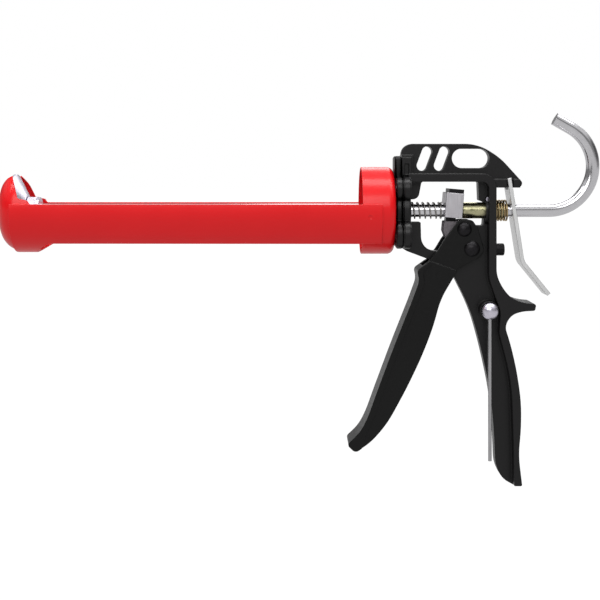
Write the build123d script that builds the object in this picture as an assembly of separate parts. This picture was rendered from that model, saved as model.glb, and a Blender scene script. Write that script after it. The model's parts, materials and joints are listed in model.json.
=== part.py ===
"""Caulking gun: swivel cradle for a standard cartridge, cast grip frame and a smooth-rod drive.

Millimetres. The push rod's axis is X, the nose is at -X, the hanging hook at +X and +Z is up.
The origin is on the rod's axis, in the plane where the cartridge's rear rim seats.
"""
import os
from math import asin, atan2, cos, degrees, hypot, radians, sin, sqrt, tan

from build123d import *

# ---- the cartridge the gun takes -------------------------------------------------------------
CARTRIDGE_RADIUS = 25.0       # at its rear rim
CARTRIDGE_BODY = 23.3         # radius of the body ahead of the rim
CARTRIDGE_LENGTH = 222.0
CARTRIDGE_PLAY = 0.3          # radial room in the rear ring
BODY_PLAY = 0.2               # radial room in the nose cap
NOSE_PLAY = 1.5               # length left over between the cartridge and the nose cap
PLUNGER_PLAY = 1.6            # radial room for the piston in the cartridge, its wall included

# ---- general clearances, curves ----------------------------------------------------------------------
FLOW = "flow"                 # a corner with the widest curve that its two runs leave room for
FLOW_SHARE = 0.48             # how much of the shorter run such a curve takes
RUNNING = 0.06                # radial, for a shaft in its hole
FREE = 0.3                    # between pieces that move past each other

# ---- pressed steel of the cradle --------------------------------------------------------------
SHEET = 0.8
WALL_TOP = 4.3                # the side walls end this far above the rod's axis
WALL_BOTTOM = 19.1            # and this far below it
RING_DEPTH = 18.7
RING_CORNER = 4.0
ARM_END = 7.2                 # the walls stop this far ahead of the seat
WINDOW_FROM_NOSE = 22.0       # nose tip to the floor window, in the middle
WINDOW_LIP = 9.0              # how much further back it starts at the walls
NOSE_SPHERE = 80.0            # radius of the nose cap's dome
NOSE_KNUCKLE = 12.0           # radius where the dome turns into the skirt
NOSE_SKIRT = 22.5             # nose tip to the end of the cap's skirt inside the sheet
NOZZLE_SLOT = 10.0            # half width of the nozzle slot
SHELL_FROM_NOSE = 9.8         # nose tip to the front edge of the sheet

# ---- swivel --------------------------------------------------------------------------------
SEAT_STEP = 1.2               # the ring's centre is pressed this far forward of the seat
SEAT_INNER = 13.0             # inner radius of the seat
HUB_SPIGOT = 6.0
HUB_SHANK = 8.0
HUB_FLANGE = 11.5
HUB_FLANGE_T = 2.2
NUT_T = 3.0
HUB_NUT_AF = 17.0
PLATE_T = 4.35
HEAD_T = 4.7
HEAD_WALL = 1.9               # wall left between the hub's pocket and the return spring
TAB_TOP = 32.7
TAB_HALF = 8.0
LOBE_Y = 14.0
UPPER_LOBE = (13.1, 7.1)      # height of the centre, radius
LOWER_LOBE = (-13.7, 8.5)
HUB_DISC = 17.0
EDGE = 0.7                    # step round the edges of the plate and of the head
SCREW_R = 2.0
SCREW_HEAD_R = 3.9

# ---- push rod --------------------------------------------------------------------------------
ROD_R = 4.0
HOOK_START = 94.5             # where the rod leaves its straight run
HOOK_R = 26.7
HOOK_TURN = 150.4             # degrees
HOOK_TIP = 10.7
SPIGOT_R = 3.0
DISC_T = 1.2
DISC_DEPTH = 8.0
DISC_HUB = 9.4                # radius of the flat in the middle of the dished disc
WASHER_R = 8.0
WASHER_T = 1.6
REAR_NUT_AF = 16.0
REAR_NUT_T = 5.4
FRONT_NUT_AF = 10.0
FRONT_NUT_T = 3.6
DISC_TO_DOME = 0.6            # room between the disc's rim and the nose cap

# ---- frame -----------------------------------------------------------------------------------
WEB = 4.0                     # half thickness of the casting's web
RIM = 11.0                    # half width of the rim and the rear grip's flange
LUG = 6.0                     # half width of the trigger's lug
LUG_R = 7.2
BAR = 8.0                     # half width of the bar that the release lever hooks into
COLUMN_FRONT = 57.0           # front face of the column's flange
COLUMN_REAR = 61.4
COLUMN_WEB = 51.6
GUIDE_R = 9.0
GUIDE_FRONT = 54.6
BRIDGE_TOP = 40.0
RIM_TOP = 22.1
RIM_BOTTOM = 17.3
BOSS_REAR = 17.4
BAR_BOTTOM = 13.8
BAR_TOP = 18.8
BOSS_UPPER = 6.7
BOSS_LOWER = -6.8
FLOOR = -24.2                 # lowest edge of the frame's window

# ---- trigger -----------------------------------------------------------------------------------
PIVOT = (47.2, -22.6)
DRIVE_PIN = (42.7, -11.0)
CHEEK_T = 2.2
BODY_STEP = 1.5               # how far the trigger's lower part stands out past its cheeks
FLANGE_T = 3.0
TRIGGER_TOE = (-22.4, -143.6)
PIVOT_R = 3.0
DRIVE_R = 2.5
PIVOT_HEAD = 4.8
DRIVE_HEAD = 4.4
RIVET_DOME = 2.6
DOG_WALL = 1.3
DOG_GAP = 0.5                 # from the last plate's tail to the dog
DOG_PLAY = 1.3                # from the sleeve to the dog below it

# ---- drive, sleeve and springs ---------------------------------------------------------------
SADDLE_TILT = 4.8             # degrees, top to the rear
SADDLE_X = 36.3               # middle of the saddle on the rod's axis
SADDLE_LENGTH = 10.4
SADDLE_WALL = 1.6
SADDLE_HALF = 10.0
SADDLE_TOP = 10.7
SADDLE_BOTTOM = 4.2
PLATE_TOP = 13.0
TAIL_END = 12.0
TAIL_HALF = 4.1
PLATES = 3
GRIP_PLAY = 0.25              # radial room for the rod in the grip plates
SLEEVE_WALL = 0.84
SLEEVE_GAP = 0.47             # from the rear grip plate to the sleeve
SLEEVE_REAR = 67.4
RETURN_WIRE = 0.5
RETURN_PLAY = 0.25            # radial room between the rod and its return spring
RETURN_COILS = 6
BRAKE_WIRE = 0.55
BRAKE_PLAY = 0.55             # radial room between the sleeve and the brake spring
BRAKE_COILS = 4.5
BRAKE_LENGTH = 8.0
COLUMN_PIN_R = 1.4
COLUMN_PIN_PLAY = 0.45        # from the sleeve to the cross pin above it

# ---- release lever -----------------------------------------------------------------------------
LEVER_T = 2.4
LEVER_HALF = 8.0
LEVER_TOP = (69.6, 19.4)
LEVER_BEND = (77.4, -30.5)
LEVER_END = (93.2, -50.0)
LEVER_BEND_R = 8.0
LEVER_PIVOT_Z = 16.3
LEVER_PLAY = 0.55             # radial room for the rod in the lever
NOTCH_ROOM = 0.8

# ---- seal punch ----------------------------------------------------------------------------
PUNCH_AT = (57.1, -59.1)
PUNCH_REACH = 88.7
WIRE_R = 1.05
RIVET_R = 2.5
PUNCH_DOME = 4.9
PUNCH_BOSS = 5.6
PUNCH_DOME_H = 3.0

# ---- lever stop --------------------------------------------------------------------------------
STOP_Z = -23.5
STOP_HEAD_R = 3.7
STOP_HEAD_T = 6.2
STOP_SHANK_R = 2.0
STOP_SHANK = 8.0
HEX_SOCKET_AF = 3.0

# ---- worked out from the above ------------------------------------------------------------
PLUNGER_RADIUS = CARTRIDGE_BODY - PLUNGER_PLAY
RING_IN = CARTRIDGE_RADIUS + CARTRIDGE_PLAY
RING_OUT = RING_IN + SHEET
SHELL_OUT = RING_OUT + SHEET
NOSE_R = CARTRIDGE_BODY + BODY_PLAY + SHEET
KNUCKLE_OFF_AXIS = NOSE_R - NOSE_KNUCKLE
KNUCKLE_FROM_TIP = NOSE_SPHERE - sqrt((NOSE_SPHERE - NOSE_KNUCKLE)**2 - KNUCKLE_OFF_AXIS**2)
INNER_KNUCKLE = NOSE_KNUCKLE - SHEET


def inside_of_dome(radius):
    """How far behind the nose tip the dome's inner wall is, at this radius inside the knuckle."""
    return KNUCKLE_FROM_TIP - sqrt(INNER_KNUCKLE**2 - (radius - KNUCKLE_OFF_AXIS)**2)


NOSE_TIP = -(CARTRIDGE_LENGTH + NOSE_PLAY + inside_of_dome(CARTRIDGE_BODY))
DISC_FRONT = NOSE_TIP + inside_of_dome(PLUNGER_RADIUS) + DISC_TO_DOME
PLATE_FRONT = SHEET + FREE + 0.05
HEAD_FRONT = PLATE_FRONT + PLATE_T
HEAD_REAR = HEAD_FRONT + HEAD_T
CHEEK_IN = LUG + FREE
CHEEK_OUT = CHEEK_IN + CHEEK_T
BODY_OUT = CHEEK_OUT + BODY_STEP
GRIP_HOLE = ROD_R + GRIP_PLAY
SLEEVE_R = ROD_R + RUNNING + SLEEVE_WALL
SLEEVE_FRONT = SADDLE_X + SADDLE_LENGTH / 2 / cos(radians(SADDLE_TILT)) + (
    SLEEVE_R * tan(radians(SADDLE_TILT)) + SLEEVE_GAP)
DOG_TOP = SLEEVE_R + DOG_PLAY
RETURN_R = ROD_R + RETURN_PLAY + RETURN_WIRE
BRAKE_R = SLEEVE_R + BRAKE_PLAY + BRAKE_WIRE
COLUMN_PIN_Z = SLEEVE_R + COLUMN_PIN_PLAY + COLUMN_PIN_R
LEVER_HOLE = ROD_R + LEVER_PLAY


# ---- small helpers -------------------------------------------------------------------------
def rounded(corners):
    """A closed face through (x, z, radius) corners, each corner rounded to its own radius or flowing."""
    count = len(corners)
    edges = []
    cuts = []
    for i in range(count):
        here = Vector(*corners[i][:2])
        last_run = Vector(*corners[i - 1][:2]) - here
        next_run = Vector(*corners[(i + 1) % count][:2]) - here
        to_last = last_run.normalized()
        to_next = next_run.normalized()
        half = radians(to_last.get_angle(to_next)) / 2
        radius = corners[i][2]
        if radius == FLOW:
            radius = FLOW_SHARE * min(last_run.length, next_run.length) * tan(half)
        reach = radius / tan(half)
        middle = here + (to_last + to_next).normalized() * (radius / sin(half) - radius)
        cuts.append((here + to_last * reach, middle, here + to_next * reach, radius))
    for i in range(count):
        start, middle, end, radius = cuts[i]
        if radius > 0:
            edges.append(ThreePointArc(start, middle, end))
        edges.append(Line(end, cuts[(i + 1) % count][0]))
    return make_face(edges)


def slab(face, half, middle=0.0):
    """A face drawn in X and Z, made a slab of this half width about Y = middle."""
    return Pos(0, middle, 0) * extrude(Plane.XZ * face, half, both=True)


def across(x, z, radius, y_from, y_to):
    """A round bar along Y."""
    length = y_to - y_from
    return Pos(x, (y_from + y_to) / 2, z) * Rot(90, 0, 0) * Cylinder(radius, length)


def along(radius, x_from, x_to, z=0.0, y=0.0):
    """A round bar along X."""
    return Pos((x_from + x_to) / 2, y, z) * Rot(0, 90, 0) * Cylinder(radius, x_to - x_from)


def block(x_from, x_to, half, z_from, z_to):
    """A block centred on Y = 0."""
    size = Box(x_to - x_from, 2 * half, z_to - z_from)
    return Pos((x_from + x_to) / 2, 0, (z_from + z_to) / 2) * size


def turned(points):
    """A solid of revolution about X through (x, radius) points."""
    face = make_face(Polyline(*points, close=True))
    return revolve(Plane.XZ * face, Axis.X)


def hexagon_nut(across_flats, x_from, x_to, hole):
    """A hexagon nut on the rod's axis, with its corners turned off."""
    corner = across_flats / sqrt(3)
    body = extrude(Plane.YZ.offset(x_from) * RegularPolygon(corner, 6), x_to - x_from)
    edge = (corner - across_flats / 2) * 0.6
    middle = corner * 1.2
    chamfered = turned([(x_from, 0), (x_from, corner - edge), (x_from + edge, corner), (x_from + edge, middle),
                        (x_to - edge, middle), (x_to - edge, corner), (x_to, corner - edge), (x_to, 0)])
    return (body & chamfered) - along(hole, x_from - 1, x_to + 1)


def dome(x, z, radius, height, y_face, side):
    """A low domed rivet head on the face at Y = y_face, standing out on the given side."""
    sphere = (radius**2 + height**2) / (2 * height)
    ball = Pos(x, y_face - side * (sphere - height), z) * Sphere(sphere)
    reach = y_face + side * (height + 1)
    return ball & across(x, z, radius, min(y_face, reach), max(y_face, reach))


def one(shape):
    """The single solid of a shape."""
    found = shape.solids()
    if len(found) != 1:
        raise ValueError(f"expected one solid, found {len(found)}")
    return found[0]


# ---- cradle ----------------------------------------------------------------------------------
def cradle_shell():
    """Rolled sheet trough: two side walls, a floor only under the nose, open at the top."""
    front = NOSE_TIP + SHELL_FROM_NOSE
    inner = [(front, NOSE_R), (NOSE_TIP + NOSE_SKIRT, NOSE_R), (-RING_DEPTH, RING_OUT), (-ARM_END, RING_OUT)]
    tube = turned(inner + [(x, radius + SHEET) for x, radius in reversed(inner)])
    tube -= block(front - 1, 0, SHELL_OUT + 1, WALL_TOP, SHELL_OUT + 1)
    wide = sqrt((NOSE_R + SHEET)**2 - WALL_BOTTOM**2)
    window_start = NOSE_TIP + WINDOW_FROM_NOSE
    at_wall = window_start + WINDOW_LIP
    lip = ThreePointArc((at_wall, -wide), (window_start, 0), (at_wall, wide))
    sides = Polyline((at_wall, wide), (at_wall, SHELL_OUT), (0, SHELL_OUT), (0, -SHELL_OUT),
                     (at_wall, -SHELL_OUT), (at_wall, -wide))
    window = extrude(Plane.XY.offset(-SHELL_OUT - 1) * make_face([lip, sides]), SHELL_OUT + 1 - WALL_BOTTOM)
    tube -= window
    return tube


def dome_of_revolution(inset, x_end):
    """The cap's outer shape from the tip to x_end, or its hollow, inset by the sheet."""
    sphere = NOSE_SPHERE - inset
    knuckle = NOSE_KNUCKLE - inset
    radius = NOSE_R - inset
    middle = NOSE_TIP + NOSE_SPHERE
    turn = NOSE_TIP + KNUCKLE_FROM_TIP
    meet = asin(KNUCKLE_OFF_AXIS / (NOSE_SPHERE - NOSE_KNUCKLE))
    join = (middle - sphere * cos(meet), sphere * sin(meet))
    dome_middle = (middle - sphere * cos(meet / 2), sphere * sin(meet / 2))
    bend = (meet + radians(90)) / 2
    knuckle_middle = (turn - knuckle * cos(bend), KNUCKLE_OFF_AXIS + knuckle * sin(bend))
    tip = (NOSE_TIP + inset, 0)
    edges = [ThreePointArc(tip, dome_middle, join), ThreePointArc(join, knuckle_middle, (turn, radius)),
             Polyline((turn, radius), (x_end, radius), (x_end, 0), tip)]
    return revolve(Plane.XZ * make_face(edges), Axis.X)


def nose_cap():
    """Domed cap with a nozzle slot open at the top; its skirt is welded inside the sheet."""
    skirt_end = NOSE_TIP + NOSE_SKIRT
    cap = dome_of_revolution(0.0, skirt_end) - dome_of_revolution(SHEET, skirt_end + 1)
    high = NOSE_R + 1
    back = rounded([(skirt_end + 1, WALL_TOP, 0), (NOSE_TIP + 22.0, WALL_TOP, 1.0),
                    (NOSE_TIP + 20.4, WALL_TOP + 2.2, 2.0), (NOSE_TIP + 14.8, WALL_TOP + 3.4, 0.9),
                    (NOSE_TIP + 11.9, 15.5, 20.0), (NOSE_TIP + 8.0, NOSE_R - 2.0, 2.5),
                    (NOSE_TIP + 4.5, high, 0), (skirt_end + 1, high, 0)])
    return cap - nozzle_slot(NOSE_TIP - 1, skirt_end + 1) - slab(back, NOSE_R + 1)


def nozzle_slot(x_from, x_to):
    """The nozzle's slot: round below the axis, open upwards, its top corners turned outwards."""
    high = NOSE_R + 2
    start = NOSE_R * 0.8
    flare = 3.0
    round_end = NOZZLE_SLOT - 0.01
    outline = rounded([(-NOZZLE_SLOT, -NOZZLE_SLOT, round_end), (NOZZLE_SLOT, -NOZZLE_SLOT, round_end),
                       (NOZZLE_SLOT, start, 4.0), (NOZZLE_SLOT + flare, high, 0),
                       (-NOZZLE_SLOT - flare, high, 0), (-NOZZLE_SLOT, start, 4.0)])
    return extrude(Plane.YZ.offset(x_from) * outline, x_to - x_from)


def rear_ring():
    """Deep-drawn cup that takes the cartridge's rear end; its base is the seat."""
    corner = RING_CORNER
    inner_corner = corner - SHEET
    step = SEAT_STEP
    outer = Polyline((-RING_DEPTH, RING_IN), (-RING_DEPTH, RING_OUT), (SHEET - corner, RING_OUT))
    bend = ThreePointArc((SHEET - corner, RING_OUT),
                         (SHEET - corner * (1 - cos(radians(45))), RING_OUT - corner * (1 - cos(radians(45)))),
                         (SHEET, RING_OUT - corner))
    rest = Polyline((SHEET, RING_OUT - corner), (SHEET, SEAT_INNER - SHEET), (SHEET - step, SEAT_INNER - SHEET),
                    (SHEET - step, HUB_SPIGOT), (-step, HUB_SPIGOT), (-step, SEAT_INNER), (0, SEAT_INNER),
                    (0, RING_IN - inner_corner))
    inside = ThreePointArc((0, RING_IN - inner_corner),
                           (-inner_corner * (1 - cos(radians(45))), RING_IN - inner_corner * (1 - cos(radians(45)))),
                           (-inner_corner, RING_IN))
    close = Line((-inner_corner, RING_IN), (-RING_DEPTH, RING_IN))
    return revolve(Plane.XZ * make_face([outer, bend, rest, inside, close]), Axis.X)


def hub_bush():
    """Turned bush riveted through the cup; its rear flange is trapped in the frame's head."""
    shoulder = SHEET
    flange = HEAD_FRONT + FREE
    flange_end = flange + HUB_FLANGE_T
    bore = ROD_R + FREE
    return turned([(-SEAT_STEP - NUT_T - 0.8, bore), (-SEAT_STEP - NUT_T - 0.8, HUB_SPIGOT), (shoulder, HUB_SPIGOT),
                   (shoulder, HUB_SHANK), (flange, HUB_SHANK), (flange, HUB_FLANGE), (flange_end, HUB_FLANGE),
                   (flange_end, bore)])


def hub_washer():
    """Thrust washer in the hollow behind the cup's pressed centre."""
    front = SHEET - SEAT_STEP
    return turned([(front, HUB_SPIGOT), (front, SEAT_INNER - SHEET - 0.5), (SHEET, SEAT_INNER - SHEET - 0.5),
                   (SHEET, HUB_SPIGOT)])


def hub_nut():
    """Nut inside the cup that clamps it to the hub."""
    return hexagon_nut(HUB_NUT_AF, -SEAT_STEP - NUT_T, -SEAT_STEP, HUB_SPIGOT)


# ---- swivel plate and head ---------------------------------------------------------------------
def lobed_plate(x_from, x_to, tab_half, tab_top):
    """The lobed shape shared by the swivel plate and the frame's head, with stepped-in edges."""
    plate = Part()
    for inset, x_start, x_end in ((0.0, x_from + EDGE, x_to - EDGE), (EDGE, x_from, x_to)):
        face = Sketch() + Circle(HUB_DISC - inset)
        for side in (-1, 1):
            for height, radius in (UPPER_LOBE, LOWER_LOBE):
                face += Pos(side * LOBE_Y, height) * Circle(radius - inset)
        tab = RectangleRounded(2 * (tab_half - inset), tab_top - inset, 2.0)
        face += Pos(0, (tab_top - inset) / 2) * tab
        plate += extrude(Plane.YZ.offset(x_start) * face, x_end - x_start)
    return plate


def screw_places():
    """Y and Z of the four screws that hold the swivel plate."""
    return [(side * LOBE_Y, height) for side in (-1, 1) for height in (UPPER_LOBE[0], LOWER_LOBE[0])]


def swivel_plate():
    """Retaining plate that traps the hub's flange against the frame's head."""
    plate = lobed_plate(PLATE_FRONT, HEAD_FRONT, TAB_HALF, TAB_TOP)
    plate -= along(HUB_SHANK + RUNNING, PLATE_FRONT - 1, HEAD_FRONT + 1)
    for y, z in screw_places():
        plate -= along(SCREW_R, PLATE_FRONT - 1, HEAD_FRONT + 1, z, y)
        plate -= Pos(PLATE_FRONT + (SCREW_HEAD_R - SCREW_R) / 2, y, z) * Rot(0, 90, 0) * Cone(
            SCREW_HEAD_R, SCREW_R, SCREW_HEAD_R - SCREW_R)
    return plate


def swivel_screws():
    """Four countersunk screws, flush with the swivel plate."""
    screws = []
    head = SCREW_HEAD_R - SCREW_R
    for y, z in screw_places():
        cone = Pos(PLATE_FRONT + head / 2, y, z) * Rot(0, 90, 0) * Cone(SCREW_HEAD_R, SCREW_R, head)
        screw = cone + along(SCREW_R, PLATE_FRONT + head, HEAD_REAR - 0.4, z, y)
        slot = Pos(PLATE_FRONT, y, z) * Box(1.6, 0.8, 4.4) + Pos(PLATE_FRONT, y, z) * Box(1.6, 4.4, 0.8)
        screws.append(one(screw - slot))
    return Compound(children=screws)


# ---- frame ---------------------------------------------------------------------------------------
def rear_edge():
    """Corners of the frame's rear edge, from the column past the spur to the heel of the grip."""
    return [(COLUMN_REAR, -38.0, FLOW), (64.6, -45.2, FLOW), (70.0, -51.8, FLOW), (77.6, -54.6, FLOW),
            (85.0, -55.2, 1.3), (84.2, -59.2, 1.3), (76.4, -59.6, FLOW), (70.2, -61.8, FLOW),
            (66.2, -68.2, FLOW), (69.6, -78.8, FLOW), (73.2, -94.0, FLOW), (76.0, -113.0, FLOW),
            (75.9, -130.0, FLOW), (74.4, -144.6, FLOW), (76.6, -163.2, 0.8)]


def web_face():
    """Outline of the whole casting in X and Z."""
    top = [(HEAD_FRONT, BRIDGE_TOP, 6.6), (51.5, BRIDGE_TOP, 28.0), (64.8, 31.6, 40.0), (78.6, 16.4, 2.2),
           (76.4, BAR_BOTTOM, 1.8), (COLUMN_REAR, BAR_BOTTOM, 1.0)]
    front = [(72.6, -164.2, 1.0), (66.0, -160.6, FLOW), (61.8, -152.4, FLOW), (61.0, -131.0, FLOW),
             (58.8, -108.0, FLOW), (52.6, -79.6, FLOW), (46.6, -58.6, FLOW), (37.0, -39.4, 3.0), (24.0, -30.0, 4.0),
             (8.6, -24.2, 3.0), (HEAD_FRONT, -22.2, 0.5)]
    return rounded(top + rear_edge() + front)


def rim_face():
    """Outline of the wide rim: under the bridge, down the column and down the back of the grip."""
    inner = [(71.9, -163.2, 0.4), (71.6, -140.0, FLOW), (70.4, -101.0, FLOW), (63.0, -72.5, 8.0),
             (63.8, -60.0, 10.0), (COLUMN_FRONT, -40.0, 20.0), (COLUMN_FRONT, RIM_BOTTOM, 4.0),
             (HEAD_REAR - 1, RIM_BOTTOM, 0)]
    return rounded([(HEAD_REAR - 1, RIM_TOP, 0), (COLUMN_REAR, RIM_TOP, 8.0)] + rear_edge() + inner)


def window_face():
    """The opening that the drive works in."""
    lug_front = PIVOT[0] + 1.6
    return rounded([(HEAD_REAR, BOSS_UPPER, 0), (15.6, BOSS_UPPER, 4.0), (BOSS_REAR + 0.2, RIM_BOTTOM, 1.5),
                    (COLUMN_WEB, RIM_BOTTOM, 1.0), (COLUMN_WEB + 0.4, 6.2, 0.8), (GUIDE_FRONT + 1.0, 4.9, 0.3),
                    (GUIDE_FRONT, -8.9, 0.8), (lug_front, -8.9, 0.8), (lug_front, FLOOR, 0),
                    (BOSS_REAR + 0.2, FLOOR, 8.5), (BOSS_REAR - 0.3, BOSS_LOWER, 0.8), (HEAD_REAR, BOSS_LOWER, 0)])


def slanted_slot(top, bottom, radius):
    """A round-ended slot between two centres."""
    length = hypot(top[0] - bottom[0], top[1] - bottom[1])
    angle = degrees(atan2(top[1] - bottom[1], top[0] - bottom[0]))
    middle = Pos((top[0] + bottom[0]) / 2, (top[1] + bottom[1]) / 2)
    return middle * Rot(0, 0, angle) * SlotCenterToCenter(length, 2 * radius)


def frame_casting():
    """Cast frame: head, bridge, column and rear grip in one piece."""
    web = slab(web_face(), WEB) - slab(window_face(), WEB + 1)
    rim = slab(rim_face(), RIM)
    bar = block(COLUMN_REAR - 1, 76.0, BAR, BAR_BOTTOM, BAR_TOP)
    slope = lever_slope()
    notch_x = LEVER_TOP[0] + (LEVER_TOP[1] - LEVER_PIVOT_Z) * slope
    notch_half = LEVER_T / 2 + NOTCH_ROOM
    notch = block(notch_x - notch_half, notch_x + notch_half, BAR + 1, BAR_BOTTOM - 1, BAR_TOP + 1)
    bar -= notch - block(0, 100, WEB, 0, 50)
    casting = web + rim + (bar & slab(web_face(), BAR + 1))
    casting += across(*PIVOT, LUG_R, -LUG, LUG)
    casting += along(GUIDE_R, GUIDE_FRONT + 1, COLUMN_REAR)
    casting += lobed_plate(HEAD_FRONT, HEAD_REAR, TAB_HALF - 1, TAB_TOP - 0.4)
    casting += block(HEAD_FRONT, HEAD_REAR + 2.3, TAB_HALF - 1, RIM_TOP - 1, TAB_TOP + 0.6)
    casting += block(HEAD_FRONT, HEAD_REAR + 1.0, TAB_HALF + 1.5, RIM_TOP - 1, TAB_TOP - 0.9)
    casting += across(*PUNCH_AT, PUNCH_BOSS, -RIM - 0.2, 0)
    for slot in (slanted_slot((21.0, 35.3), (17.9, 27.0), 3.2), slanted_slot((31.3, 35.3), (28.2, 27.0), 3.2),
                 slanted_slot((41.6, 31.3), (52.6, 31.3), 5.8)):
        casting -= slab(slot, WEB + 1)
    for side in (-1, 1):
        casting -= slab(rounded([(6.9, 21.6, 0.5), (9.6, 21.6, 0.5), (9.6, 28.0, 0.5), (6.9, 28.0, 0.5)]), 1.5,
                        side * (TAB_HALF + 1.5))
    pocket = HUB_FLANGE + FREE
    casting -= along(pocket, HEAD_FRONT - 1, HEAD_REAR - HEAD_WALL)
    casting -= along(ROD_R + RUNNING, 0, HEAD_REAR + 1)
    casting -= along(SLEEVE_R + RUNNING, GUIDE_FRONT - 5, COLUMN_REAR + 1)
    casting -= across(*PIVOT, PIVOT_R + RUNNING, -LUG - 1, LUG + 1)
    casting -= across(GUIDE_FRONT + 2.6, COLUMN_PIN_Z, COLUMN_PIN_R, -GUIDE_R, GUIDE_R)
    casting -= across(*PUNCH_AT, RIVET_R, -RIM - 1, RIM)
    casting -= along(STOP_SHANK_R, COLUMN_REAR - STOP_SHANK, COLUMN_REAR + 1, STOP_Z)
    for y, z in screw_places():
        casting -= along(SCREW_R, HEAD_FRONT - 1, HEAD_REAR - 0.4, z, y)
    return casting


def column_pin():
    """Cross pin above the sleeve's guide."""
    return across(GUIDE_FRONT + 2.6, COLUMN_PIN_Z, COLUMN_PIN_R, -6.8, 6.8)


def lever_stop_screw():
    """Socket-head screw in the column's rear face, which ends the release lever's travel."""
    head = along(STOP_HEAD_R, COLUMN_REAR, COLUMN_REAR + STOP_HEAD_T, STOP_Z)
    head = chamfer(head.edges().sort_by(Axis.X)[-1:], 0.4)
    hole_start = COLUMN_REAR + STOP_HEAD_T - 2.0
    socket = extrude(Plane.YZ.offset(hole_start) * RegularPolygon(HEX_SOCKET_AF / sqrt(3), 6), 3.0)
    return head + along(STOP_SHANK_R, COLUMN_REAR - STOP_SHANK, COLUMN_REAR, STOP_Z) - Pos(0, 0, STOP_Z) * socket


def punch_rivet():
    """Domed rivet that the seal punch turns on."""
    head_face = -RIM - 0.2 - 2 * WIRE_R - 2 * FREE
    return across(*PUNCH_AT, RIVET_R, head_face, WEB) + dome(*PUNCH_AT, PUNCH_DOME, PUNCH_DOME_H, head_face, -1)


def coil(radius, wire, x_from, length, turns):
    """A coil spring about the rod's axis."""
    path = Helix(length / turns, length, radius)
    start = path @ 0
    section = Plane(origin=start, z_dir=path % 0) * Circle(wire)
    spring = sweep(section, path, is_frenet=True)
    return Pos(x_from, 0, 0) * Rot(0, 90, 0) * spring


def return_spring():
    """Spring between the frame's head and the saddle."""
    seat = SADDLE_X - SADDLE_LENGTH / 2 - RETURN_R * tan(radians(SADDLE_TILT)) - RETURN_WIRE - 0.2
    start = HEAD_REAR + RETURN_WIRE
    return coil(RETURN_R, RETURN_WIRE, start, seat - start, RETURN_COILS)


def brake_spring():
    """Spring between the column and the release lever."""
    return coil(BRAKE_R, BRAKE_WIRE, COLUMN_REAR + BRAKE_WIRE, BRAKE_LENGTH - 2 * BRAKE_WIRE, BRAKE_COILS)


# ---- rod and piston ------------------------------------------------------------------------------
def disc_rear():
    """X of the rear face of the piston disc's hub."""
    return DISC_FRONT + DISC_DEPTH


def nut_start():
    """X of the front face of the nut behind the disc."""
    return disc_rear() + FREE


def rod_shoulder():
    """X of the rod's shoulder, which the washer lies against."""
    return nut_start() + REAR_NUT_T + WASHER_T


def push_rod():
    """Round rod with a hanging hook, and a spigot for the piston."""
    shoulder = rod_shoulder()
    straight = Line((shoulder, 0), (HOOK_START, 0))
    arc = CenterArc((HOOK_START, HOOK_R), HOOK_R, -90, HOOK_TURN)
    tip = Line(arc @ 1, (arc @ 1) + (arc % 1) * HOOK_TIP)
    path = Plane.XZ * (Curve() + [straight, arc, tip])
    rod = sweep(Plane.YZ.offset(shoulder) * Circle(ROD_R), path)
    spigot_front = disc_rear() - DISC_T - FREE - FRONT_NUT_T - 0.8
    return rod + along(SPIGOT_R, spigot_front, shoulder)


def piston_disc():
    """Dished disc that pushes the cartridge's plunger, with its rim forwards."""
    rear = disc_rear()
    front = rear - DISC_T
    hole = SPIGOT_R + RUNNING
    rim = DISC_FRONT + DISC_T
    dish = turned([(front, hole), (rear, hole), (rear, DISC_HUB), (rim, PLUNGER_RADIUS),
                   (DISC_FRONT, PLUNGER_RADIUS), (DISC_FRONT, PLUNGER_RADIUS - DISC_T),
                   (front, DISC_HUB - DISC_T)])
    return dish


def piston_washer():
    """Washer between the rod's shoulder and the nut."""
    start = nut_start() + REAR_NUT_T
    return turned([(start, SPIGOT_R), (start, WASHER_R), (start + WASHER_T, WASHER_R),
                   (start + WASHER_T, SPIGOT_R)])


def piston_rear_nut():
    """Nut on the rod's end that takes the thrust."""
    return hexagon_nut(REAR_NUT_AF, nut_start(), nut_start() + REAR_NUT_T, SPIGOT_R)


def piston_front_nut():
    """Nut that holds the disc on the spigot."""
    end = disc_rear() - DISC_T - FREE
    return hexagon_nut(FRONT_NUT_AF, end - FRONT_NUT_T, end, SPIGOT_R)


# ---- trigger and dog -----------------------------------------------------------------------------
def trigger_front():
    """Corners of the trigger's front edge, from its nose down to its toe."""
    return [(22.0, -29.8, 1.2), (14.2, -35.4, 3.0), (15.6, -41.5, FLOW), (11.6, -52.6, FLOW),
            (0.4, -80.6, FLOW), (-10.3, -109.4, FLOW), (-15.0, -122.6, FLOW), (-19.4, -131.2, FLOW),
            (-27.4, -138.8, 2.0)]


def trigger_rear():
    """Corners of its rear edge, from the toe up to the web."""
    return [(*TRIGGER_TOE, 3.0), (-13.0, -137.4, FLOW), (-3.4, -126.4, FLOW), (8.2, -105.4, FLOW),
            (17.8, -85.0, FLOW), (24.4, -67.5, FLOW), (28.2, -52.6, FLOW)]


def cheek_face():
    """Outline of the upper cheeks, which carry both rivets."""
    return rounded([(21.8, -29.4, 0.8), (27.0, -23.4, 3.0), (30.5, -17.6, 5.0), (38.6, -6.6, 2.0), (40.2, -5.4, 1.5),
                    (47.4, -5.4, 3.0), (50.8, -10.4, 4.0), (54.6, -24.0, 4.0), (50.6, -28.3, 6.0),
                    (38.0, -35.2, 2.0), (28.2, -50.0, 3.0), (20.0, -42.0, 0)])


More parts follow.
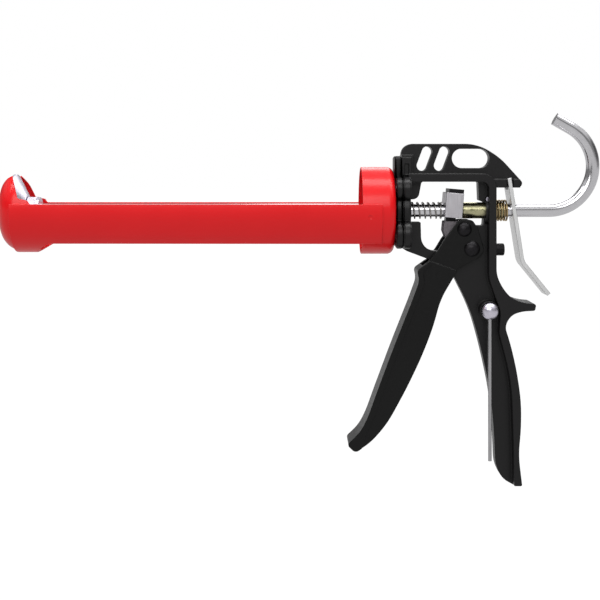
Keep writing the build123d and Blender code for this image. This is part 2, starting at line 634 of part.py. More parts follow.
def trigger_lever():
    """Channel-shaped trigger: a wide front flange and two cheeks that straddle the frame."""
    side = rounded(trigger_front() + trigger_rear() + [(36.2, -39.2, 2.0), (38.4, -35.6, 0.8)])
    body = slab(side, BODY_OUT)
    flange = slab(side, RIM) & slab(flange_face(), RIM + 1)
    cheeks = slab(cheek_face(), CHEEK_OUT)
    lever = body + flange + cheeks
    lever -= slab(channel_face(), CHEEK_IN)
    lever -= across(*PIVOT, PIVOT_R, -RIM, RIM)
    lever -= across(*DRIVE_PIN, DRIVE_R, -RIM, RIM)
    return lever


def flange_face():
    """The strip along the front edge that the flange takes in."""
    front = trigger_front()
    back = [(x + FLANGE_T + 0.4, z - 0.8, r) for x, z, r in reversed(front)]
    back[0] = (TRIGGER_TOE[0] + FLANGE_T, TRIGGER_TOE[1] - 0.5, 0)
    back[-1] = (front[0][0] + 1.0, front[0][1] - 2.5, 0)
    lead = [(x - 2.0, z + 0.4, 0) for x, z, r in front]
    below_toe = (TRIGGER_TOE[0] - 2.0, TRIGGER_TOE[1] - 2.0, 0)
    return rounded(lead + [below_toe] + back)


def channel_face():
    """The hollow between the cheeks, open to the rear and to the top."""
    front = [(x + FLANGE_T + 0.6, z, r) for x, z, r in trigger_front()[1:]]
    front[0] = (front[0][0], front[0][1], 0)
    front[-1] = (front[-1][0] + 2.0, front[-1][1] + 3.0, 0)
    open_side = [(-5.0, -150.0, 0), (60.0, -100.0, 0), (60.0, 5.0, 0), (20.4, 5.0, 0)]
    return rounded(front + open_side)


def rivet(place, shank, head):
    """A rivet through both cheeks with a domed head on each side."""
    body = across(*place, shank, -CHEEK_OUT, CHEEK_OUT)
    for side in (-1, 1):
        body += dome(*place, head, RIVET_DOME, side * CHEEK_OUT, side)
    return body


def drive_dog():
    """Steel stirrup on the upper rivet that pushes the tails of the grip plates."""
    outer = TAIL_HALF + FREE + DOG_WALL
    x, z = DRIVE_PIN
    wall = rounded([(31.0, -DOG_TOP, 0.6), (x + 3.4, -DOG_TOP, 2.5), (x + 4.5, z, 2.5), (x + 2.2, z - 4.6, 2.0),
                    (32.4, -17.4, 2.0), (30.4, -12.0, 2.0)])
    dog = slab(wall, outer)
    last_plate = (SADDLE_LENGTH - SADDLE_WALL) / PLATES
    tail_rear = SADDLE_X + SADDLE_LENGTH / 2 - last_plate - DOG_TOP * tan(radians(SADDLE_TILT)) + DOG_GAP
    dog -= block(20, tail_rear, TAIL_HALF + FREE, -25, 0)
    return dog - across(*DRIVE_PIN, DRIVE_R + RUNNING, -outer - 1, outer + 1)


# ---- drive ---------------------------------------------------------------------------------------
def tilted(shape):
    """A piece drawn square to the rod, tilted with the saddle."""
    return Pos(SADDLE_X, 0, 0) * Rot(0, SADDLE_TILT, 0) * shape


def drive_saddle():
    """Folded steel channel that holds the grip plates together."""
    half = SADDLE_LENGTH / 2
    shell = block(-half, half, SADDLE_HALF, -SADDLE_BOTTOM, SADDLE_TOP)
    shell -= block(-half + SADDLE_WALL, half + 1, SADDLE_HALF - SADDLE_WALL, -SADDLE_BOTTOM - 1, SADDLE_TOP + 1)
    return tilted(shell) - along(GRIP_HOLE, 0, SLEEVE_REAR)


def grip_plate(index):
    """One of the plates that bite the rod when they are pushed."""
    room = SADDLE_LENGTH - SADDLE_WALL
    thick = room / PLATES
    start = -SADDLE_LENGTH / 2 + SADDLE_WALL + index * thick
    half = SADDLE_HALF - SADDLE_WALL
    plate = block(start, start + thick, half, -SADDLE_BOTTOM, PLATE_TOP)
    if index < PLATES - 1:
        plate += block(start, start + thick, TAIL_HALF, -TAIL_END, 0)
    return tilted(plate) - along(GRIP_HOLE, 0, SLEEVE_REAR)


def auto_release_sleeve():
    """Tube on the rod that the saddle pushes back to free the brake."""
    bore = ROD_R + RUNNING
    return turned([(SLEEVE_FRONT, bore), (SLEEVE_FRONT, SLEEVE_R - 0.3), (SLEEVE_FRONT + 0.3, SLEEVE_R),
                   (SLEEVE_REAR - 0.3, SLEEVE_R), (SLEEVE_REAR, SLEEVE_R - 0.3), (SLEEVE_REAR, bore)])


# ---- release lever and punch -----------------------------------------------------------------
def lever_slope():
    """How far the lever's upper run moves to the rear per millimetre down."""
    return (LEVER_BEND[0] - LEVER_TOP[0]) / (LEVER_TOP[1] - LEVER_BEND[1])


def release_lever():
    """Bent steel plate, hooked under the frame's bar, that brakes the rod."""
    slope = lever_slope()
    lean = degrees(atan2(slope, 1))
    path = FilletPolyline(LEVER_TOP, LEVER_BEND, LEVER_END, radius=LEVER_BEND_R)
    strip = Plane.XZ * path
    section = Plane(origin=strip @ 0, x_dir=(0, 1, 0), z_dir=strip % 0) * Rectangle(2 * LEVER_HALF, LEVER_T)
    lever = sweep(section, strip)
    notch = block(50, 90, WEB + 0.4, BAR_BOTTOM - 1.0, 40)
    hole_x = LEVER_TOP[0] + LEVER_TOP[1] * slope
    hole = Pos(hole_x, 0, 0) * Rot(0, lean, 0) * along(LEVER_HOLE, -6, 6)
    lever -= notch
    return lever - hole


def seal_punch():
    """Stiff wire for piercing a cartridge's seal, folded down beside the grip."""
    x, z = PUNCH_AT
    y = -RIM - 0.2 - FREE - WIRE_R
    eye_r = RIVET_R + RUNNING + WIRE_R
    eye = Pos(x, y, z) * Rot(90, 0, 0) * Torus(eye_r, WIRE_R)
    leg = Pos(x, y, z - (eye_r + PUNCH_REACH) / 2) * Cylinder(WIRE_R, PUNCH_REACH - eye_r)
    return eye + leg


# ---- write every piece -----------------------------------------------------------------------
def pieces():
    """Every sub-part by the name of its node."""
    made = {
        "cradle_shell": cradle_shell(),
        "nose_cap": nose_cap(),
        "rear_ring": rear_ring(),
        "hub_bush": hub_bush(),
        "hub_washer": hub_washer(),
        "hub_nut": hub_nut(),
        "swivel_plate": swivel_plate(),
        "swivel_screws": swivel_screws(),
        "frame_casting": frame_casting(),
        "column_pin": column_pin(),
        "lever_stop_screw": lever_stop_screw(),
        "punch_rivet": punch_rivet(),
        "return_spring": return_spring(),
        "brake_spring": brake_spring(),
        "push_rod": push_rod(),
        "piston_disc": piston_disc(),
        "piston_washer": piston_washer(),
        "piston_rear_nut": piston_rear_nut(),
        "piston_front_nut": piston_front_nut(),
        "trigger_lever": trigger_lever(),
        "pivot_rivet": rivet(PIVOT, PIVOT_R, PIVOT_HEAD),
        "drive_rivet": rivet(DRIVE_PIN, DRIVE_R, DRIVE_HEAD),
        "drive_dog": drive_dog(),
        "drive_saddle": drive_saddle(),
        "auto_release_sleeve": auto_release_sleeve(),
        "release_lever": release_lever(),
        "seal_punch": seal_punch(),
    }
    for index in range(PLATES):
        made[f"grip_plate_{index + 1}"] = grip_plate(index)
    return made


os.makedirs("parts", exist_ok=True)
for node, shape in pieces().items():
    export_step(shape, f"parts/{node}.step")
    print(node, len(shape.solids()), round(shape.volume, 1))
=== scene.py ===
# %% [markdown]
# # A caulking gun
# A caulking gun squeezes sealant out of a cartridge. The cartridge lies in a red sheet-metal
# cradle, a steel rod pushes its plunger forwards, and a black cast frame carries the trigger,
# the grip plates that bite the rod, and the thumb release.
# The engineering model already holds every piece at its real size and place. This lesson loads
# it and works on the looks: soft edges, finishes, light and camera. A cast or painted edge is
# never a knife edge, so most of the work is to take copies of the sharp pieces and to round
# them as the foundry, the press or the paint would.

# %% Load the frame
import json
import math

import bmesh
import bpy
from mathutils import Matrix, Vector


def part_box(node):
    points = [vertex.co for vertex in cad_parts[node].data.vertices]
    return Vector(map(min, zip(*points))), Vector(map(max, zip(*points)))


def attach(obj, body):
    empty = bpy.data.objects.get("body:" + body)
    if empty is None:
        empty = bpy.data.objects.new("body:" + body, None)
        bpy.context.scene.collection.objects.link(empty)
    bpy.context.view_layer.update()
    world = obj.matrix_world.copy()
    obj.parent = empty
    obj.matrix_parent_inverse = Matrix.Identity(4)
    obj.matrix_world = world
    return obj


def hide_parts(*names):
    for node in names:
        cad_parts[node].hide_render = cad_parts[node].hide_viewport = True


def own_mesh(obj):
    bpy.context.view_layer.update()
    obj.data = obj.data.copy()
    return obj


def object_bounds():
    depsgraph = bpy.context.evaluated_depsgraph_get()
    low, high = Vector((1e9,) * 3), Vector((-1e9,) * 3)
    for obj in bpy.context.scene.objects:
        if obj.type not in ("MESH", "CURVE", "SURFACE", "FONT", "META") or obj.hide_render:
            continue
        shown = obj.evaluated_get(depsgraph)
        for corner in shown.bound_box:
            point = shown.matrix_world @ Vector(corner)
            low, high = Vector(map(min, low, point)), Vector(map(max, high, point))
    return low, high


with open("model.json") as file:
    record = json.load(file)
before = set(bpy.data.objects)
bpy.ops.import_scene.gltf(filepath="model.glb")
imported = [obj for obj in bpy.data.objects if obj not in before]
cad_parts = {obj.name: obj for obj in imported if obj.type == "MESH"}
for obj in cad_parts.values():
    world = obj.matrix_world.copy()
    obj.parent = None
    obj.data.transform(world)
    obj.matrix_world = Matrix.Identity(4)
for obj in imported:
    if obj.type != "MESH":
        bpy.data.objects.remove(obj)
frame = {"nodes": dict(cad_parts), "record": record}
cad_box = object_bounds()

MM = 0.001
NODES = frame["nodes"]
print("pieces in the frame:", len(NODES))
print("size in mm:", [round(side / MM, 1) for side in cad_box[1] - cad_box[0]])

# %% [markdown]
# ## Camera, floor and light
# The gun is seen square from its left side, from a bit over half a metre away. A longer lens
# would flatten it, and a shorter one would show too much of the nose and the hook from the
# side. The camera stands level, a little higher than the rod, so that the upright lines stay
# upright. The grip hangs far below it, and the lens shift brings it into the picture.

# %% Camera
CAMERA_PLACE = Vector((-55.2, -680.0, 23.0)) * MM
LENS = 67.7
SENSOR = 36.0
SHIFT_Y = -0.213
LEVEL = 90.0            # degrees that turn a camera from straight down to level

camera_data = bpy.data.cameras.new("camera")
camera_data.lens = LENS
camera_data.sensor_width = SENSOR
camera_data.shift_y = SHIFT_Y
camera = bpy.data.objects.new("camera", camera_data)
camera.location = CAMERA_PLACE
camera.rotation_euler = (math.radians(LEVEL), 0.0, 0.0)
bpy.context.collection.objects.link(camera)
bpy.context.scene.camera = camera
print("field of view:", round(math.degrees(2 * math.atan(SENSOR / 2 / LENS)), 1), "degrees")

# %% [markdown]
# A material is a small tree of nodes, and so is the light of the room. Both could be clicked
# together by hand, but a few helpers keep the script short: one turns a colour as a painter's
# chart gives it into the linear one that light is counted in, and one adds a node together
# with its settings and its links.

# %% Colours
def linear(hex_colour):
    """The linear colour of an sRGB hex value such as C81E24."""
    parts = [int(hex_colour[i:i + 2], 16) / 255 for i in (0, 2, 4)]
    made = [c / 12.92 if c <= 0.04045 else ((c + 0.055) / 1.055) ** 2.4 for c in parts]
    return (*made, 1.0)


# %% Nodes
def put(tree, kind, sources=None, values=None, **settings):
    """Adds a node. sources link output sockets to inputs, values are constants for inputs."""
    node = tree.nodes.new(kind)
    for name, value in settings.items():
        setattr(node, name, value)
    for name, value in (values or {}).items():
        node.inputs[name].default_value = value
    for name, socket in (sources or {}).items():
        tree.links.new(socket, node.inputs[name])
    return node


def per(size_mm):
    """Texture scale at which one grain is this many millimetres."""
    return 1.0 / (size_mm * MM)


# %% A new finish and its mottled colour
GRAIN_LOW = 0.3         # a noise texture's factor seldom leaves this range
GRAIN_HIGH = 0.7
MOTTLE_DETAIL = 3.0


def new_finish(name, metallic, roughness, **constants):
    """A material with its shader's constants, and the Object coordinates its patterns read."""
    material = bpy.data.materials.new(name)
    material.use_nodes = True
    tree = material.node_tree
    shader = tree.nodes["Principled BSDF"]
    shader.inputs["Metallic"].default_value = metallic
    shader.inputs["Roughness"].default_value = roughness
    for socket, value in constants.items():
        shader.inputs[socket.replace("_", " ")].default_value = value
    place = put(tree, "ShaderNodeTexCoord").outputs["Object"]
    return material, tree, shader, place


def mottle(tree, shader, place, size_mm, colours):
    """Blends two or more colours by a noise with grains of this size; returns its factor."""
    noise = put(tree, "ShaderNodeTexNoise", {"Vector": place},
                {"Scale": per(size_mm), "Detail": MOTTLE_DETAIL})
    ramp = put(tree, "ShaderNodeValToRGB", {"Fac": noise.outputs["Fac"]})
    stops = ramp.color_ramp.elements
    while len(stops) < len(colours):
        stops.new(0.5)
    for i, colour in enumerate(colours):
        stops[i].position = GRAIN_LOW + (GRAIN_HIGH - GRAIN_LOW) * i / (len(colours) - 1)
        stops[i].color = linear(colour)
    tree.links.new(ramp.outputs["Color"], shader.inputs["Base Color"])
    return noise.outputs["Fac"]


# %% [markdown]
# The floor is a sheet of white paper, far enough below the gun that no hard shadow shows on
# it. Paper that is only lit would look grey towards its edges, so it also glows: fully for the
# camera, and less for the gun, which would otherwise be lit too strongly from below.

# %% Floor
FLOOR_DROP = 135.0 * MM
FLOOR_SIZE = 40.0       # metres, so that its edge lies beyond the picture
PAPER_SHADE_DRIFT_MM = 30.0   # painted shade: the paper's colour drifts slowly, as light does over a hung sheet
BACKDROP = 1.0          # brightness that the camera sees
FLOOR_BOUNCE = 0.60     # brightness that reaches the gun

floor_shape = bmesh.new()
bmesh.ops.create_grid(floor_shape, x_segments=1, y_segments=1, size=FLOOR_SIZE / 2)
bmesh.ops.translate(floor_shape, verts=floor_shape.verts, vec=(0, 0, cad_box[0].z - FLOOR_DROP))
floor_mesh = bpy.data.meshes.new("floor")
floor_shape.to_mesh(floor_mesh)
floor_shape.free()
floor = bpy.data.objects.new("floor", floor_mesh)
bpy.context.collection.objects.link(floor)
floor_finish, tree, shader, place = new_finish("matt white paper", 0.0, 1.0, IOR=1.0)
# painted shade: two greys that drift slowly across the paper, as light falls over a hung sheet
mottle(tree, shader, place, PAPER_SHADE_DRIFT_MM, ("3C3C3C", "404040"))
shader.inputs["Emission Color"].default_value = linear("FFFFFF")
seen = put(tree, "ShaderNodeLightPath").outputs["Is Camera Ray"]
glow = put(tree, "ShaderNodeMapRange", {"Value": seen},
           {"To Min": FLOOR_BOUNCE, "To Max": BACKDROP})
tree.links.new(glow.outputs["Result"], shader.inputs["Emission Strength"])
floor_mesh.materials.append(floor_finish)
print("floor at", round((cad_box[0].z - FLOOR_DROP) / MM), "mm")

# %% [markdown]
# Bright metal only looks like metal if it has something dark to reflect. The room is therefore
# not even: it has a dark band above the horizon and a dark strip on each side, like the black
# cards that a studio stands beside a product. They draw the long lines on the rod and the
# hook. The camera itself sees a plain white wall.

# %% Graded light
def graded(tree, value, stops):
    """Grey levels that follow a value between -1 and 1, through (value, level) stops."""
    spread = put(tree, "ShaderNodeMapRange", {"Value": value},
                 {"From Min": -1.0, "From Max": 1.0})
    ramp = put(tree, "ShaderNodeValToRGB", {"Fac": spread.outputs["Result"]})
    marks = ramp.color_ramp.elements
    while len(marks) < len(stops):
        marks.new(0.5)
    for i, (at, level) in enumerate(stops):
        marks[i].position = (at + 1) / 2
        marks[i].color = (level, level, level, 1.0)
    return ramp.outputs["Color"]


# %% Surroundings
ROOM = 0.72             # brightness of the room that the gun reflects

world = bpy.data.worlds.new("studio")
world.use_nodes = True
tree = world.node_tree
white_wall = put(tree, "ShaderNodeBackground",
                 values={"Color": linear("FFFFFF"), "Strength": BACKDROP})
dim_room = tree.nodes["Background"]
dim_room.inputs["Strength"].default_value = ROOM
towards = put(tree, "ShaderNodeTexCoord").outputs["Generated"]
parts = put(tree, "ShaderNodeSeparateXYZ", {"Vector": towards}).outputs
UPWARDS = ((-1.0, 0.9), (0.05, 0.9), (0.11, 0.35), (0.34, 0.35), (0.46, 1.0), (1.0, 1.0))
SIDEWAYS = ((-1.0, 0.9), (-0.68, 0.8), (-0.58, 0.25), (-0.42, 0.25), (-0.3, 1.0),
            (0.3, 1.0), (0.82, 1.0), (0.9, 0.3), (1.0, 0.5))
height = graded(tree, parts["Z"], UPWARDS)
sideways = graded(tree, parts["X"], SIDEWAYS)
room_light = put(tree, "ShaderNodeVectorMath", {0: height, 1: sideways}, operation="MULTIPLY")
tree.links.new(room_light.outputs["Vector"], dim_room.inputs["Color"])
seen = put(tree, "ShaderNodeLightPath").outputs["Is Camera Ray"]
both = put(tree, "ShaderNodeMixShader", {"Fac": seen})
tree.links.new(dim_room.outputs["Background"], both.inputs[1])
tree.links.new(white_wall.outputs["Background"], both.inputs[2])
tree.links.new(both.outputs["Shader"], tree.nodes["World Output"].inputs["Surface"])
bpy.context.scene.world = world
bpy.context.scene.view_settings.view_transform = "Standard"
print("levels upwards:", len(UPWARDS), "and sideways:", len(SIDEWAYS))

# %% [markdown]
# Three soft boxes give the room a direction: a long one overhead draws a highlight along the
# rod and the trough, one in front and above lets the black paint show its form, and a weaker
# one behind lifts the far edges. None of them is seen by the camera.

# %% Soft boxes
def soft_box(name, place_mm, aim_mm, width_mm, height_mm, watts):
    """A rectangular area light at a place, turned towards an aim."""
    data = bpy.data.lights.new(name, "AREA")
    data.shape = "RECTANGLE"
    data.size = width_mm * MM
    data.size_y = height_mm * MM
    data.energy = watts
    box = bpy.data.objects.new(name, data)
    box.location = Vector(place_mm) * MM
    away = Vector(place_mm) - Vector(aim_mm)
    box.rotation_euler = away.to_track_quat("Z", "Y").to_euler()
    box.visible_camera = False
    bpy.context.collection.objects.link(box)


soft_box("overhead box", (-40, -120, 700), (-40, 0, 0), 1400, 240, 6.0)
soft_box("front box", (-250, -900, 500), (-40, 0, -40), 900, 500, 5.0)
soft_box("rear box", (300, 900, 600), (0, 0, -40), 900, 500, 3.0)

# %% [markdown]
# ## Finishes
# Each finish is named for what it really is. The cradle is baked enamel: a thick, glossy paint
# with a faint orange-peel surface. The castings are die-cast metal under a satin black powder
# coat, whose grain is only a few tenths of a millimetre. The small parts are zinc-plated,
# chromated, blackened or bare steel, and differ in tint and in gloss rather than in pattern.

# %% Grain in gloss and in relief
EDGE_SAMPLES = 6
RELIEF_DETAIL = 2.0


def vary_roughness(tree, shader, factor, low, high):
    """Roughness that follows a pattern between two values."""
    spread = put(tree, "ShaderNodeMapRange", {"Value": factor},
                 {"From Min": GRAIN_LOW, "From Max": GRAIN_HIGH, "To Min": low, "To Max": high})
    tree.links.new(spread.outputs["Result"], shader.inputs["Roughness"])


def roughen(tree, shader, place, size_mm, height_mm, strength, edge_mm=0.1):
    """Bumps of this grain and height, on edges that the paint or the tumbling has rounded."""
    noise = put(tree, "ShaderNodeTexNoise", {"Vector": place},
                {"Scale": per(size_mm), "Detail": RELIEF_DETAIL})
    edge = put(tree, "ShaderNodeBevel", values={"Radius": edge_mm * MM}, samples=EDGE_SAMPLES)
    bump = put(tree, "ShaderNodeBump",
               {"Height": noise.outputs["Fac"], "Normal": edge.outputs["Normal"]},
               {"Distance": height_mm * MM, "Strength": strength})
    tree.links.new(bump.outputs["Normal"], shader.inputs["Normal"])


# %% [markdown]
# The cradle's sheet is spot-welded to its ring and to its nose cap before it is painted. Each
# weld leaves a shallow round pit that the paint only half fills. The pits are far too shallow
# to be worth modelling, so they are drawn as relief, by the distance to each weld's centre.

# %% Spot welds under the paint
WELD_RADIUS = 1.5
WELD_FLAT = 0.4         # the pit's flat bottom, as a share of its radius
WELD_DEPTH = 0.35
WELDS = [(-215.6, -1.9), (-14.3, -3.1), (-209.0, -14.5), (-222.0, -15.0)]
WALL_RADIUS = 26.5      # close to the sheet's outside, which narrows towards the nose
PEEL_SIZE = 2.2         # orange peel, in mm
PEEL_HEIGHT = 0.010
PEEL_STRENGTH = 0.35


def weld_marks(tree, shader, place):
    """Orange peel, and a shallow pit over each spot weld on both walls."""
    peel = put(tree, "ShaderNodeTexNoise", {"Vector": place},
               {"Scale": per(PEEL_SIZE), "Detail": RELIEF_DETAIL})
    bump = put(tree, "ShaderNodeBump", {"Height": peel.outputs["Fac"]},
               {"Distance": PEEL_HEIGHT * MM, "Strength": PEEL_STRENGTH})
    for x, z in WELDS:
        for side in (-1, 1):
            middle = Vector((x, side * math.sqrt(WALL_RADIUS ** 2 - z ** 2), z)) * MM
            away = put(tree, "ShaderNodeVectorMath", {0: place}, {1: middle},
                       operation="DISTANCE")
            pit = put(tree, "ShaderNodeMapRange", {"Value": away.outputs["Value"]},
                      {"From Min": WELD_FLAT * WELD_RADIUS * MM, "From Max": WELD_RADIUS * MM},
                      interpolation_type="SMOOTHSTEP")
            bump = put(tree, "ShaderNodeBump",
                       {"Height": pit.outputs["Result"], "Normal": bump.outputs["Normal"]},
                       {"Distance": WELD_DEPTH * MM, "Strength": 1.0})
    tree.links.new(bump.outputs["Normal"], shader.inputs["Normal"])


# %% Painted finishes
enamel, tree, shader, place = new_finish(
    "red baked enamel", 0.0, 0.3, IOR=1.35, Coat_Weight=0.15, Coat_Roughness=0.12)
factor = mottle(tree, shader, place, 45.0, ("D60810", "DC0C14"))
vary_roughness(tree, shader, factor, 0.27, 0.34)
weld_marks(tree, shader, place)

black_coat, tree, shader, place = new_finish(
    "black powder-coated casting", 0.0, 0.42, IOR=1.38, Coat_Weight=0.1, Coat_Roughness=0.25)
factor = mottle(tree, shader, place, 1.1, ("050405", "080608"))
vary_roughness(tree, shader, factor, 0.32, 0.42)
roughen(tree, shader, place, 0.45, 0.012, 0.5, edge_mm=0.9)

black_gloss, tree, shader, place = new_finish(
    "black enamelled casting", 0.0, 0.34, IOR=1.3, Coat_Weight=0.1, Coat_Roughness=0.2)
factor = mottle(tree, shader, place, 1.6, ("010101", "030303"))
vary_roughness(tree, shader, factor, 0.3, 0.42)
roughen(tree, shader, place, 0.6, 0.010, 0.4, edge_mm=0.9)

# %% Plated and bare metals
zinc, tree, shader, place = new_finish("blue zinc plate", 1.0, 0.3)
factor = mottle(tree, shader, place, 4.0, ("D0CCDA", "DEDAE6"))
vary_roughness(tree, shader, factor, 0.26, 0.4)
roughen(tree, shader, place, 0.8, 0.004, 0.5)

chromate, tree, shader, place = new_finish("yellow chromate on zinc", 1.0, 0.2)
factor = mottle(tree, shader, place, 3.0, ("A3A17C", "C0BC96", "ACA788"))
vary_roughness(tree, shader, factor, 0.2, 0.34)

brass_wire, tree, shader, place = new_finish("yellow chromated spring wire", 1.0, 0.3)
factor = mottle(tree, shader, place, 1.5, ("A08A66", "C8B284"))
vary_roughness(tree, shader, factor, 0.24, 0.38)

spring_wire, tree, shader, place = new_finish("drawn spring wire", 1.0, 0.24)
factor = mottle(tree, shader, place, 1.5, ("A19E9B", "C6C3C0"))
vary_roughness(tree, shader, factor, 0.2, 0.34)

black_oxide, tree, shader, place = new_finish("blackened steel", 0.7, 0.38)
factor = mottle(tree, shader, place, 1.4, ("141315", "211F22"))
vary_roughness(tree, shader, factor, 0.32, 0.46)
roughen(tree, shader, place, 0.5, 0.006, 0.5)

raw_forging, tree, shader, place = new_finish("raw grey steel", 0.85, 0.46)
factor = mottle(tree, shader, place, 1.2, ("6B666A", "7E797D"))
vary_roughness(tree, shader, factor, 0.4, 0.55)
roughen(tree, shader, place, 0.5, 0.012, 0.6)

# %% [markdown]
# The rod is ground and the flat steel pieces are cut from rolled strip, so their surface is
# streaky along one direction. A noise that is stretched thirty times along that direction
# gives the same look: a Mapping node shrinks the coordinate in the direction of the streaks.

# %% Streaky metals
STREAK = 30             # how many times longer than wide a streak is


def streaked(name, colours, roughness, fine_mm, along, height_mm):
    """Bare metal with streaks along an axis (0, 1 or 2), this fine across them."""
    material, tree, shader, place = new_finish(name, 1.0, roughness)
    stretch = [1.0, 1.0, 1.0]
    stretch[along] = 1 / STREAK
    turned = put(tree, "ShaderNodeMapping", {"Vector": place}, {"Scale": stretch}).outputs["Vector"]
    factor = mottle(tree, shader, turned, fine_mm, colours)
    vary_roughness(tree, shader, factor, roughness * 0.8, roughness * 1.35)
    roughen(tree, shader, turned, fine_mm, height_mm, 0.5)
    return material


ground_rod = streaked("ground bright steel", ("D2D1D4", "DEDDE0"), 0.14, 0.5, 0, 0.001)
rolled_strip = streaked("rolled steel strip", ("BEBBC0", "CCC9CD"), 0.34, 0.4, 2, 0.002)
plated_strip = streaked("bright plated strip", ("E8E8E8", "F2F2F2"), 0.3, 0.5, 2, 0.002)
drawn_wire = streaked("drawn bright wire", ("A9A8AA", "BDBCBE"), 0.26, 0.4, 2, 0.003)
print("finishes:", len(bpy.data.materials))

# %% Which finish each piece has
FINISHES = {
    "cradle_shell": enamel, "nose_cap": enamel, "rear_ring": enamel,
    "hub_bush": zinc, "hub_washer": zinc, "hub_nut": zinc,
    "swivel_plate": black_coat, "swivel_screws": zinc, "frame_casting": black_coat,
    "column_pin": zinc, "lever_stop_screw": black_oxide, "punch_rivet": zinc,
    "return_spring": spring_wire, "brake_spring": brass_wire,
    "push_rod": ground_rod, "piston_disc": zinc, "piston_washer": zinc,
    "piston_rear_nut": zinc, "piston_front_nut": zinc,
    "trigger_lever": black_gloss, "pivot_rivet": black_oxide, "drive_rivet": black_oxide,
    "drive_dog": raw_forging, "drive_saddle": rolled_strip,
    "grip_plate_1": black_oxide, "grip_plate_2": black_oxide, "grip_plate_3": black_oxide,
    "auto_release_sleeve": chromate, "release_lever": plated_strip, "seal_punch": drawn_wire,
}
for node, finish in FINISHES.items():
    piece = NODES[node]
    if not piece.material_slots:
        piece.data.materials.append(finish)
    for slot in piece.material_slots:
        slot.link = "OBJECT"
        slot.material = finish
print("pieces with a finish:", len(FINISHES))

# %% [markdown]
# ## Soft edges
# The engineering model has sharp edges. On the real gun the castings leave their mould with
# edges rounded by half a millimetre or more, and paint rounds the pressed sheet further. The
# edges could be rounded one by one, but an angle does the same: every edge where two faces
# meet at more than a given angle gets a bevel. The copy is cleaned first. Its triangles are
# merged into whole flat faces, since a bevel needs room beside each edge.

# %% Rounding a copy
BODIES = frame["record"]["behaviour"]["bodies"]
BODY_OF = {node: body for body, nodes in BODIES.items() for node in nodes}
SAME_POINT_MM = 0.002   # corners closer than this are one corner
FLAT_DEGREES = 0.4      # triangles that turn by less are one flat face
EDGE_DEGREES = 32.0     # a surface that turns by more has an edge


def finish_piece(name, shape, node):
    """Makes an object of a bmesh that stands for a node, with that node's finish and body."""
    mesh = bpy.data.meshes.new(name)
    shape.to_mesh(mesh)
    shape.free()
    piece = bpy.data.objects.new(name, mesh)
    bpy.context.collection.objects.link(piece)
    mesh.materials.append(FINISHES[node])
    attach(piece, BODY_OF[node])
    return piece


def smooth_by_angle(shape, degrees):
    """Smooth faces, with sharp edges only where the surface turns by more than this."""
    for face in shape.faces:
        face.smooth = True
    for edge in shape.edges:
        turn = edge.calc_face_angle(0.0)
        edge.smooth = len(edge.link_faces) == 2 and turn < math.radians(degrees)


def cleaned_copy(node, merge_mm):
    """A node's mesh as a bmesh with whole flat faces and no edge shorter than merge_mm."""
    shape = bmesh.new()
    shape.from_mesh(NODES[node].data)
    bmesh.ops.remove_doubles(shape, verts=shape.verts, dist=merge_mm * MM)
    bmesh.ops.dissolve_degenerate(shape, edges=shape.edges, dist=SAME_POINT_MM * MM)
    bmesh.ops.dissolve_limit(shape, angle_limit=math.radians(FLAT_DEGREES),
                             verts=shape.verts, edges=shape.edges)
    return shape


def soften(node, name, width_mm, segments=3, merge_mm=SAME_POINT_MM, clamp=False):
    """A copy of a node with rounded edges, which stands for it."""
    shape = cleaned_copy(node, merge_mm)
    smooth_by_angle(shape, EDGE_DEGREES)
    piece = finish_piece(name, shape, node)
    bevel = piece.modifiers.new("rounded edges", "BEVEL")
    bevel.width = width_mm * MM
    bevel.segments = segments
    bevel.limit_method = "ANGLE"
    bevel.angle_limit = math.radians(EDGE_DEGREES)
    bevel.harden_normals = True
    bevel.miter_outer = "MITER_ARC"
    bevel.use_clamp_overlap = clamp
    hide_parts(node)
    print(name, "faces", len(piece.data.polygons))


# %% [markdown]
# The frame and the trigger have small steps where their ribs run into round bosses. A wide
# bevel would fold over itself there, so the smallest steps are merged first, and the bevel is
# told to stop where two of them would meet.

# %% Castings
SMALL_STEP = 0.12       # mm

soften("frame_casting", "cast_frame", 0.6, merge_mm=SMALL_STEP, clamp=True)
soften("swivel_plate", "cast_swivel_plate", 0.5)
soften("trigger_lever", "cast_trigger", 0.6, merge_mm=SMALL_STEP, clamp=True)

# %% Pressed and bent steel
soften("cradle_shell", "pressed_trough", 0.3, 2)
soften("nose_cap", "pressed_nose_cap", 0.3, 2)
soften("rear_ring", "drawn_cup", 0.3, 2)
soften("release_lever", "bent_release_lever", 0.35, 2)
soften("drive_saddle", "folded_saddle", 0.35, 2)
soften("drive_dog", "forged_dog", 0.4, 2)

# %% [markdown]
# ## Springs
# A compression spring isn't an even helix. Its first and last turns lie close together, so
# that it stands square on its seat. A spin with a step along its axis sweeps a round section
# into a helix, and three spins one after another give the closed turn, the working turns and
# the other closed turn.

# %% Springs by spinning
SECTION_SIDES = 12
STEPS_PER_TURN = 36
WIRE_EDGE = 50.0        # degrees; only the cut ends of a wire are sharp
CLOSE_PITCH = 2.1       # closed turns nearly touch, in wire radii
CLOSED_TURNS = 0.75     # at each end


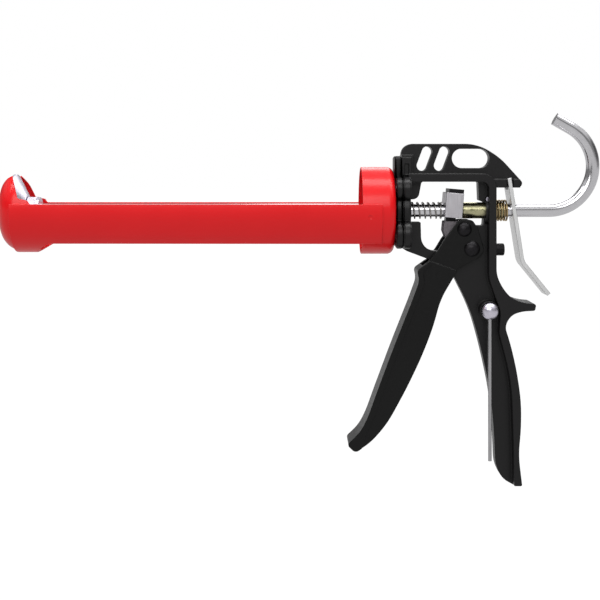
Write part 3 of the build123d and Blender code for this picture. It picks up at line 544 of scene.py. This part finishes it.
def coil_spring(name, node, wire_mm, radius_mm, start_mm, end_mm, turns):
    """A wire wound about the rod's axis between two seats, with closed turns at both ends."""
    shape = bmesh.new()
    made = bmesh.ops.create_circle(shape, segments=SECTION_SIDES, radius=wire_mm * MM)
    upright = Matrix.Rotation(math.radians(90), 3, "X")
    bmesh.ops.rotate(shape, verts=made["verts"], cent=(0, 0, 0), matrix=upright)
    bmesh.ops.translate(shape, verts=made["verts"], vec=(start_mm * MM, 0, radius_mm * MM))
    close_pitch = CLOSE_PITCH * wire_mm
    working = turns - 2 * CLOSED_TURNS
    open_pitch = (end_mm - start_mm - 2 * CLOSED_TURNS * close_pitch) / working
    section = list(shape.verts) + list(shape.edges)
    closed = (CLOSED_TURNS, close_pitch)
    for count, pitch in (closed, (working, open_pitch), closed):
        steps = round(count * STEPS_PER_TURN)
        made = bmesh.ops.spin(shape, geom=section, cent=(0, 0, 0), axis=(1, 0, 0),
                              angle=math.tau * count, steps=steps,
                              dvec=(pitch * count * MM / steps, 0, 0))
        section = made["geom_last"]
    ends = [edge for edge in shape.edges if edge.is_boundary]
    bmesh.ops.holes_fill(shape, edges=ends, sides=SECTION_SIDES)
    bmesh.ops.recalc_face_normals(shape, faces=shape.faces)
    smooth_by_angle(shape, WIRE_EDGE)
    spring = finish_piece(name, shape, node)
    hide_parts(node)
    print(name, "pitch", round(open_pitch, 2), "mm, faces", len(spring.data.polygons))
    return spring


def seats_of(node, wire_mm):
    """Where the first and last wire centres of a spring's node lie along the rod, in mm."""
    low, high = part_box(node)
    return low.x / MM + wire_mm, high.x / MM - wire_mm


RETURN_WIRE = 0.5       # radius of the wire, in mm
RETURN_TURNS = 7.0
RETURN_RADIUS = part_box("return_spring")[1].z / MM - RETURN_WIRE
return_start, return_end = seats_of("return_spring", RETURN_WIRE)
return_spring = coil_spring("wound_return_spring", "return_spring", RETURN_WIRE, RETURN_RADIUS,
                            return_start, return_end, RETURN_TURNS)

BRAKE_WIRE = 0.55
BRAKE_TURNS = 4.5
BRAKE_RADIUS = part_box("brake_spring")[1].z / MM - BRAKE_WIRE
brake_start, brake_end = seats_of("brake_spring", BRAKE_WIRE)
brake_spring = coil_spring("wound_brake_spring", "brake_spring", BRAKE_WIRE, BRAKE_RADIUS,
                           brake_start, brake_end, BRAKE_TURNS)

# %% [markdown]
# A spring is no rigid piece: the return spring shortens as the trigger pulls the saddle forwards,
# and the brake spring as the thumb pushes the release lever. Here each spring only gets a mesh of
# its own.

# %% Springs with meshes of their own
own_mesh(return_spring)
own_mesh(brake_spring)
